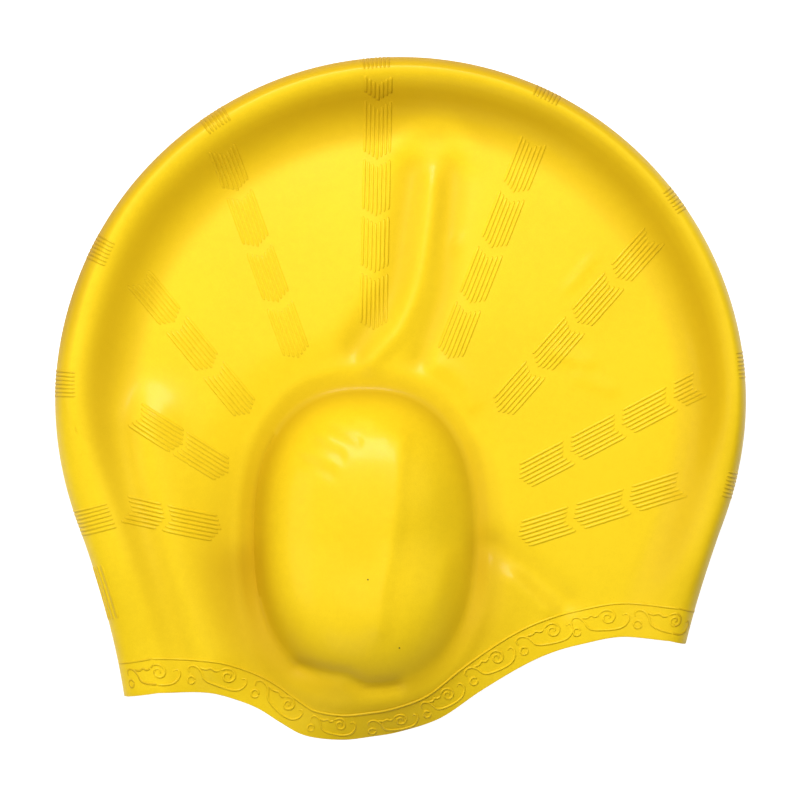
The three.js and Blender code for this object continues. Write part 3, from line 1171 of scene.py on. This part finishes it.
@dataclass
class Strand:
    """A raised line: a closed spindle that is laid along many paths and joined into one piece."""

    name: str
    half_width: float
    height: float
    sunk: float = 0.12
    taper: float = 8.0
    bluntness: float = 16.0
    # foot_tone: the shade painted round the strand's foot and underside
    foot_tone: float = 0.4
    sides: int = 6
    rings: int = 10

    def _template(self) -> tuple[Array, Array, Array, Array, list]:
        """Shapes one spindle from a sphere.

        Returns:
            Each point's place along, across and above it, the shade painted on each point, and the faces.
        """
        deselect_all()
        bpy.ops.mesh.primitive_uv_sphere_add(segments=self.sides, ring_count=self.rings, radius=1.0)
        spindle = bpy.context.object
        mesh = spindle.data
        x, y, z = np.clip(mesh_points(spindle), -1, 1).T
        faces = [tuple(face.vertices) for face in mesh.polygons]
        bpy.data.objects.remove(spindle)
        bpy.data.meshes.remove(mesh)
        along = smooth(1 - np.arccos(z) / math.pi)
        from_middle = np.abs(2 * along - 1)
        girth = (1 - from_middle**self.bluntness) ** 0.5
        turn = np.arctan2(y, x)
        upward = np.sin(turn)
        across = np.cos(turn) * girth * self.half_width
        rise = self.height * (1 - from_middle**self.taper)
        above = np.where(upward > 0, rise, self.sunk * girth) * upward
        above = np.where(girth > 0.01, above, 0.0)
        # painted shade in the crease round the foot; the top of the strand stays clear
        tone = np.where((upward > 0.1) & (girth > 0.5), 0.0, self.foot_tone)
        return along, across, above, tone, faces

    def lay(self, seats: Sequence[Seat]) -> bpy.types.Object:
        """Lays one spindle for each seat.

        Args:
            seats: where each spindle goes.

        Returns:
            All the spindles as one piece.
        """
        along, across, above, tone, faces = self._template()
        feet = [seat(along, across) for seat in seats]
        points = np.vstack([foot + out * above[:, None] for foot, out in feet])
        points[:, 2] = np.maximum(points[:, 2], 0.0)  # nothing reaches below the floor
        count = len(along)
        joined = [tuple(i + count * n for i in face) for n in range(len(seats)) for face in faces]
        mesh = bpy.data.meshes.new(self.name)
        mesh.from_pydata((points * MM).tolist(), [], joined)
        # the painted shade goes to the attribute that the material reads
        note = mesh.attributes.new("tone", "FLOAT", "POINT")
        note.data.foreach_set("value", np.tile(tone, len(seats)).astype(np.float32))
        piece = add_object(self.name, mesh)
        turn_outwards(piece)
        bpy.ops.object.shade_smooth()
        log.info("%s: %d strands, %d faces", self.name, len(seats), len(mesh.polygons))
        return piece


@dataclass(frozen=True)
class RibBand:
    """A row of rib blocks that leads away from the pouch, and its last block on the crown fold."""

    tip: tuple[float, float]
    way: tuple[float, float]
    blocks: float
    pitch: float
    fold_spot: tuple[float, float]
    fold_reach: float
    fold_slant: float = 0.0


@dataclass(frozen=True)
class Rib:
    """One rib in plan: where it starts along its band, its length, and how far it lies to the side."""

    band: RibBand
    start: float
    length: float
    offset: float

    def plan(self, along: Array, across: Array) -> Array:
        """Places the rib's points in plan.

        Args:
            along: shares of the rib's length.
            across: how far they lie to its side.

        Returns:
            The points as rows of x and y.
        """
        way = np.array(self.band.way) / np.linalg.norm(self.band.way)
        side = np.array([-way[1], way[0]])
        forward = self.start + self.length * along
        return np.array(self.band.tip) + way * forward[:, None] + side * (self.offset + across)[:, None]


@dataclass
class GripRibs:
    """The fine ribs, moulded in blocks of seven that fan out from the ear pouch."""

    form: CapForm
    ribs_per_block: int = 7
    rib_pitch: float = 1.38
    rib_length: float = 16.6
    chevron: float = 2.3
    half_width: float = 0.6
    fold_half_width: float = 0.5
    height: float = 0.2
    bands: tuple[RibBand, ...] = (
        RibBand((-59.5, -43.1), (-0.975, 0.22), 1.7, 18.6, (-100.4, -37.4), 13.0, 2.3),
        RibBand((-57.2, -24.3), (-0.843, 0.537), 2.0, 17.6, (-108.3, 5.2), 8.0),
        RibBand((-50.1, -4.5), (-0.632, 0.775), 3.0, 19.6, (-100.0, 50.1), 8.0),
        RibBand((-33.7, 13.9), (-0.34, 0.94), 3.75, 19.7, (-61.5, 93.4), 7.0),
        RibBand((-8.9, 23.3), (0.022, 1.0), 4.3, 18.9, (-7.9, 111.8), 5.0),
        RibBand((15.9, 13.7), (0.366, 0.930), 4.0, 19.8, (49.1, 102.1), 5.0),
        RibBand((32.6, -3.9), (0.663, 0.749), 4.0, 19.75, (91.4, 66.6), 5.0),
        RibBand((39.6, -26.1), (0.885, 0.465), 3.45, 19.3, (112.2, 11.6), 4.0),
        RibBand((39.3, -45.2), (0.953, 0.304), 3.0, 19.3, (108.1, -27.7), 5.0),
    )
    edge_run: tuple[tuple[float, float], ...] = ((-101.4, -55.2), (-95.1, -72.9))
    edge_ribs: tuple[float, ...] = (0.1, 0.2, 0.31, 0.43, 0.56)
    fold_under: float = 0.6

    def build(self) -> tuple[bpy.types.Object, bpy.types.Object]:
        """Models all the ribs.

        Returns:
            The ribs of both layers, and those of the crown fold.
        """
        # each rib gets painted shade round its foot; those over the fold get less
        flat = Strand("grip_ribs", self.half_width, self.height, rings=13)
        bent = Strand("fold_ribs", self.fold_half_width, self.height, foot_tone=0.2, rings=48)
        blocks = [seat for band in self.bands for seat in self._band_seats(band)]
        over_fold = [seat for band in self.bands for seat in self._fold_seats(band)]
        over_fold += [self._edge_seat(reach) for reach in self.edge_ribs]
        return flat.lay(blocks), bent.lay(over_fold)

    def _offsets(self) -> list[float]:
        """How far each rib of a block lies to the side of the block's middle."""
        middle = (self.ribs_per_block - 1) / 2
        return [(i - middle) * self.rib_pitch for i in range(self.ribs_per_block)]

    def _band_seats(self, band: RibBand) -> list[Seat]:
        """Seats the ribs of a band's blocks, on the upper layer and under the lower one.

        Args:
            band: the row of blocks.

        Returns:
            The seats, from the pouch outwards.
        """
        offsets = self._offsets()
        layers = (self.form.upper_face, self.form.lower_face)
        seats = []
        for block in range(math.ceil(band.blocks)):
            length = self.rib_length * min(1.0, band.blocks - block)
            for offset in offsets:
                start = block * band.pitch + self.chevron * abs(offset) / offsets[-1]
                rib = Rib(band, start, length, offset)
                seats += [self._rib_seat(rib, layer) for layer in layers]
        return seats

    @staticmethod
    def _rib_seat(rib: Rib, layer: Callable[[Array], Face]) -> Seat:
        """A rib on one of the layers."""
        return lambda along, across: layer(rib.plan(along, across))

    def _fold_seats(self, band: RibBand) -> list[Seat]:
        """Seats a band's ribs where they run over the crown fold.

        Args:
            band: the row of blocks.

        Returns:
            The seats, from side to side.
        """
        _, share = self.form.crown.nearest(np.array([band.fold_spot]))
        inner = band.fold_reach / float(self.form.roll_at(share)[0][0])
        spot = float(share[0])
        return [self._fold_seat(spot, offset, inner, band.fold_slant) for offset in self._offsets()]

    def _fold_seat(self, spot: float, offset: float, inner: float, slant: float) -> Seat:
        """Seats a rib over the fold, from the upper layer round to the floor side.

        Args:
            spot: the block's middle, as a share of the crown's length.
            offset: how far the rib lies to the side of it.
            inner: how far in the rib starts, where the crest is 1.
            slant: how far it drifts along the crown from end to end.

        Returns:
            The rib's seat.
        """

        def seat(along: Array, across: Array) -> Face:
            """The fold under the rib."""
            at = spot + (offset + across + slant * (along - 1)) / self.form.crown.length
            return self.form.edge_face(at, inner - (inner + self.fold_under) * along)

        return seat

    def _edge_seat(self, reach: float) -> Seat:
        """Seats a rib that runs along the fold at the nape.

        Args:
            reach: its share of the way in to the crest.

        Returns:
            The rib's seat.
        """
        _, (start, end) = self.form.crown.nearest(np.array(self.edge_run))
        wide = float(self.form.roll_at(np.array([start]))[0][0])

        def seat(along: Array, across: Array) -> Face:
            """The fold under the rib."""
            return self.form.edge_face(start + (end - start) * along, reach + across / wide)

        return seat


@dataclass
class RimRelief:
    """The raised line and the scrolls that run round the rim."""

    form: CapForm
    half_width: float = 0.42
    height: float = 0.32
    line_side: float = 11.2
    line_middle: float = 8.8
    line_low_at: float = 0.41
    line_spread: float = 0.42
    line_overrun: float = 16.0
    pitch: float = 20.0
    first: float = 1.2
    shift: float = 4.2
    shift_in: Ramp = Ramp(0.19, 0.27)
    shift_out: Ramp = Ramp(0.667, 0.333)
    closeness: float = 0.94
    end_join: float = 9.0
    nape_level: float = 6.9
    forehead_level: float = 7.0
    low_dip: float = 2.7
    low_at: float = 0.46
    low_spread: float = 0.13
    spiral_start: float = 150.0
    spiral_turns: float = 1.6
    spiral_outer: float = 2.7
    spiral_inner: float = 0.45
    ring_radius: float = 1.25
    ring_place: tuple[float, float] = (-11.2, -2.6)
    strokes: tuple[tuple[tuple[float, float], ...], ...] = (
        (
            (-12.0, -0.2), (-12.2, 1.3), (-10.9, 2.2), (-9.0, 1.6), (-7.7, -0.1),
            (-7.0, -2.0), (-5.4, -3.1), (-2.6, -3.8), (1.0, -4.2), (4.0, -3.8),
            (5.9, -2.1), (6.3, -0.3), (5.5, 0.8), (4.4, 0.1),
        ),
        ((-8.6, 1.7), (-6.6, 1.2), (-5.2, 1.7), (-3.9, 1.0), (-2.6, 1.3)),
    )

    def build(self) -> tuple[bpy.types.Object, bpy.types.Object]:
        """Models the relief of the rim.

        Returns:
            The scrolls, and the line above them.
        """
        # the scrolls get more painted shade round their feet, which sets them off
        curls = Strand("rim_scrolls", self.half_width, self.height, foot_tone=0.55, rings=52)
        seats = [seat for place in self._places() for seat in self._motif(place)]
        scrolls = curls.lay(seats)
        edge_line = Strand("rim_line", self.half_width, self.height, rings=400)
        return scrolls, edge_line.lay([self._line_seat()])

    def _places(self) -> list[float]:
        """Spaces the motifs along the rim.

        Returns:
            The distance of each one's middle.
        """
        count = round((self.form.rim.length - self.first) / self.pitch) + 1
        share = np.arange(count) / (count - 1)
        shift = self.shift * self.shift_in.up(share) * self.shift_out.down(share)
        return [float(place) for place in self.first + np.arange(count) * self.pitch + shift]

    def _level(self, place: float) -> tuple[float, float]:
        """Fits a motif to the band, which is low in the middle.

        Args:
            place: the distance of its middle along the rim.

        Returns:
            How far in from the edge it lies, and how tall it is.
        """
        share = place / self.form.rim.length
        side = self.nape_level + (self.forehead_level - self.nape_level) * share
        level = side - self.low_dip * float(bell(np.array((share - self.low_at) / self.low_spread)))
        return level, (1 + level / side) / 2

    def _rim_face(self, run: Array, level: Array) -> Face:
        """The outer face along the rim, and round the rolls at its ends.

        Args:
            run: distances along the rim, below 0 and beyond its length on the rolls.
            level: distances in from its edge.

        Returns:
            The face there.
        """
        length = self.form.rim.length
        points, normals = self._on_layer(run, level)
        climb = level / self.form.crown.length
        for past, at in ((-run, climb), (run - length, 1 - climb)):
            over = past > 0
            if over.any():
                reach = self.form.roll_at(at[over])[0]
                share = np.maximum(1 - past[over] / reach * 2 / math.pi, -1)
                points[over], normals[over] = self.form.edge_face(at[over], share)
        return points, normals

    def _on_layer(self, run: Array, level: Array) -> Face:
        """Finds the upper layer along the rim, led on to the rolls' crests at its ends.

        Args:
            run: distances along the rim.
            level: distances in from its edge.

        Returns:
            The face there.
        """
        form, length = self.form, self.form.rim.length

        def in_from_edge(share: Array) -> Array:
            """The plan points at these shares of the rim."""
            return form.rim.at(share) - form.rim.inward(share) * level[:, None]

        plan = in_from_edge(np.clip(run / length, 0, 1))
        climb = level / form.crown.length
        for inward, end, at in ((run, 0.0, climb), (length - run, 1.0, 1 - climb)):
            off = form.roll_foot(at) - in_from_edge(np.full(len(run), end))
            plan = plan + off * (1 - smooth(inward / self.end_join))[:, None]
        return form.upper_face(plan)

    def _motif(self, place: float) -> list[Seat]:
        """Seats one motif's strokes, its spiral and its little ring.

        Args:
            place: the distance of its middle along the rim.

        Returns:
            One seat for each line.
        """
        turn = np.linspace(0, 1, 60)
        angle = math.radians(self.spiral_start) - turn * self.spiral_turns * 2 * math.pi
        radius = self.spiral_outer + (self.spiral_inner - self.spiral_outer) * turn
        spiral = np.stack([np.cos(angle) * radius, np.sin(angle) * radius], axis=1)
        circle = np.linspace(0, 2 * math.pi, 40)
        ring = np.stack([np.cos(circle), np.sin(circle)], axis=1) * self.ring_radius + self.ring_place
        curves = [spline(stroke, 8) for stroke in self.strokes] + [spiral, ring]
        return [self._stroke_seat(Polyline.through(curve, 80), place) for curve in curves]

    def _stroke_seat(self, stroke: Polyline, place: float) -> Seat:
        """Seats one stroke of a motif on the rim.

        Args:
            stroke: the stroke's line, round the motif's middle.
            place: the distance of that middle along the rim.

        Returns:
            The stroke's seat.
        """
        level, tallness = self._level(place)

        def seat(along: Array, across: Array) -> Face:
            """The rim under the stroke."""
            x, y = (stroke.at(along) + stroke.inward(along) * across[:, None]).T
            return self._rim_face(place + self.closeness * x, level + tallness * y)

        return seat

    def _line_seat(self) -> Seat:
        """Seats the raised line above the scrolls, nearer to the edge where the band is low.

        Returns:
            The line's seat.
        """
        length = self.form.rim.length

        def seat(along: Array, across: Array) -> Face:
            """Finds the rim under the line.

            Args:
                along: shares of the line's length.
                across: how far points lie to its side.

            Returns:
                The face there.
            """
            run = along * (length + 2 * self.line_overrun) - self.line_overrun
            aside = np.clip((run / length - self.line_low_at) / self.line_spread, -1, 1)
            level = self.line_side + (self.line_middle - self.line_side) * np.cos(math.pi / 2 * aside) ** 2
            return self._rim_face(run, level + across)

        return seat


@dataclass(frozen=True)
class Lamp:
    """A soft square light that faces the cap."""

    name: str
    place: tuple[float, float, float]
    size: float
    power: float

    def build(self) -> None:
        """Adds the light."""
        data = bpy.data.lights.new(self.name, "AREA")
        data.size = self.size
        data.energy = self.power
        lamp = add_object(self.name, data)
        lamp.location = self.place
        lamp.rotation_euler = (-Vector(self.place)).to_track_quat("-Z", "Y").to_euler()


@dataclass
class Studio:
    """The floor, the lights and the camera that looks straight down, as in the photograph."""

    view_width: float = 0.2682
    lens: float = 100.0
    sensor: float = 36.0
    outline_height: float = 0.008
    floor_size: float = 60.0
    lamps: tuple[Lamp, ...] = (
        Lamp("sky_light", (-0.06, 0.36, 0.74), 0.3, 8.3),
        Lamp("side_light", (-0.75, 0.05, 0.75), 0.5, 2.2),
        Lamp("front_light", (-0.2, -0.6, 0.55), 0.45, 1.0),
        Lamp("right_light", (0.75, 0.1, 0.7), 0.45, 0.5),
    )

    def build(self) -> None:
        """Sets everything up round the cap."""
        self._floor()
        self._camera()
        for lamp in self.lamps:
            lamp.build()
        self._surround()

    def _floor(self) -> None:
        """A wide white floor under the cap."""
        deselect_all()
        bpy.ops.mesh.primitive_plane_add(size=self.floor_size)
        floor = bpy.context.object
        floor.name = "studio_floor"
        floor.data.materials.append(FloorFinish().build())

    def _camera(self) -> None:
        """A long lens straight above the cap."""
        data = bpy.data.cameras.new("camera")
        data.lens = self.lens
        data.sensor_width = self.sensor
        data.clip_start = 0.01
        camera = add_object("camera", data)
        camera.location = (0.0, 0.0, self.outline_height + self.view_width * self.lens / self.sensor)
        bpy.context.scene.camera = camera

    @staticmethod
    def _surround() -> None:
        """A dark surround, so that the lamps and the floor alone light the cap."""
        world = bpy.data.worlds.new("studio_air")
        world.use_nodes = True
        world.node_tree.nodes["Background"].inputs["Strength"].default_value = 0.0
        bpy.context.scene.world = world
        bpy.context.scene.view_settings.view_transform = "Standard"


def paint_tone(piece: bpy.types.Object, form: CapForm) -> None:
    """Paints the form's shade on each point of the upper layer, added to any shade already painted on the
    piece.

    Args:
        piece: the object that gets or keeps the attribute.
        form: tells the painted shade over each point.
    """
    points = mesh_points(piece) / MM
    note = piece.data.attributes.get("tone") or piece.data.attributes.new("tone", "FLOAT", "POINT")
    tone = np.zeros(len(points))
    note.data.foreach_get("value", tone)
    begins = form.marks.upper_from
    upper = points[:, 2] > begins.start
    tone[upper] += form.tone(points[upper, :2]) * begins.up(points[upper, 2])
    note.data.foreach_set("value", np.minimum(tone, 1.0))


def dress(piece: bpy.types.Object, form: CapForm, finish: bpy.types.Material) -> None:
    """Gives a piece its painted shade and its finish, and lets it ride with the cap.

    Args:
        piece: the object that is dressed.
        form: the cap's form, for the painted shade.
        finish: the material.
    """
    paint_tone(piece, form)
    piece.data.materials.clear()
    piece.data.materials.append(finish)
    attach(piece, "root")
    log.info("%s is dressed", piece.name)


def main() -> None:
    """Builds the cap and the studio."""
    form = CapForm()
    silicone = SiliconeFinish().build()
    skin = CapSkin(form).build()
    dress(skin, form, silicone)
    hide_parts("cap_shell")
    for relief in (*GripRibs(form).build(), *RimRelief(form).build()):
        dress(relief, form, silicone)
    Studio().build()


if __name__ == "__main__":
    main()
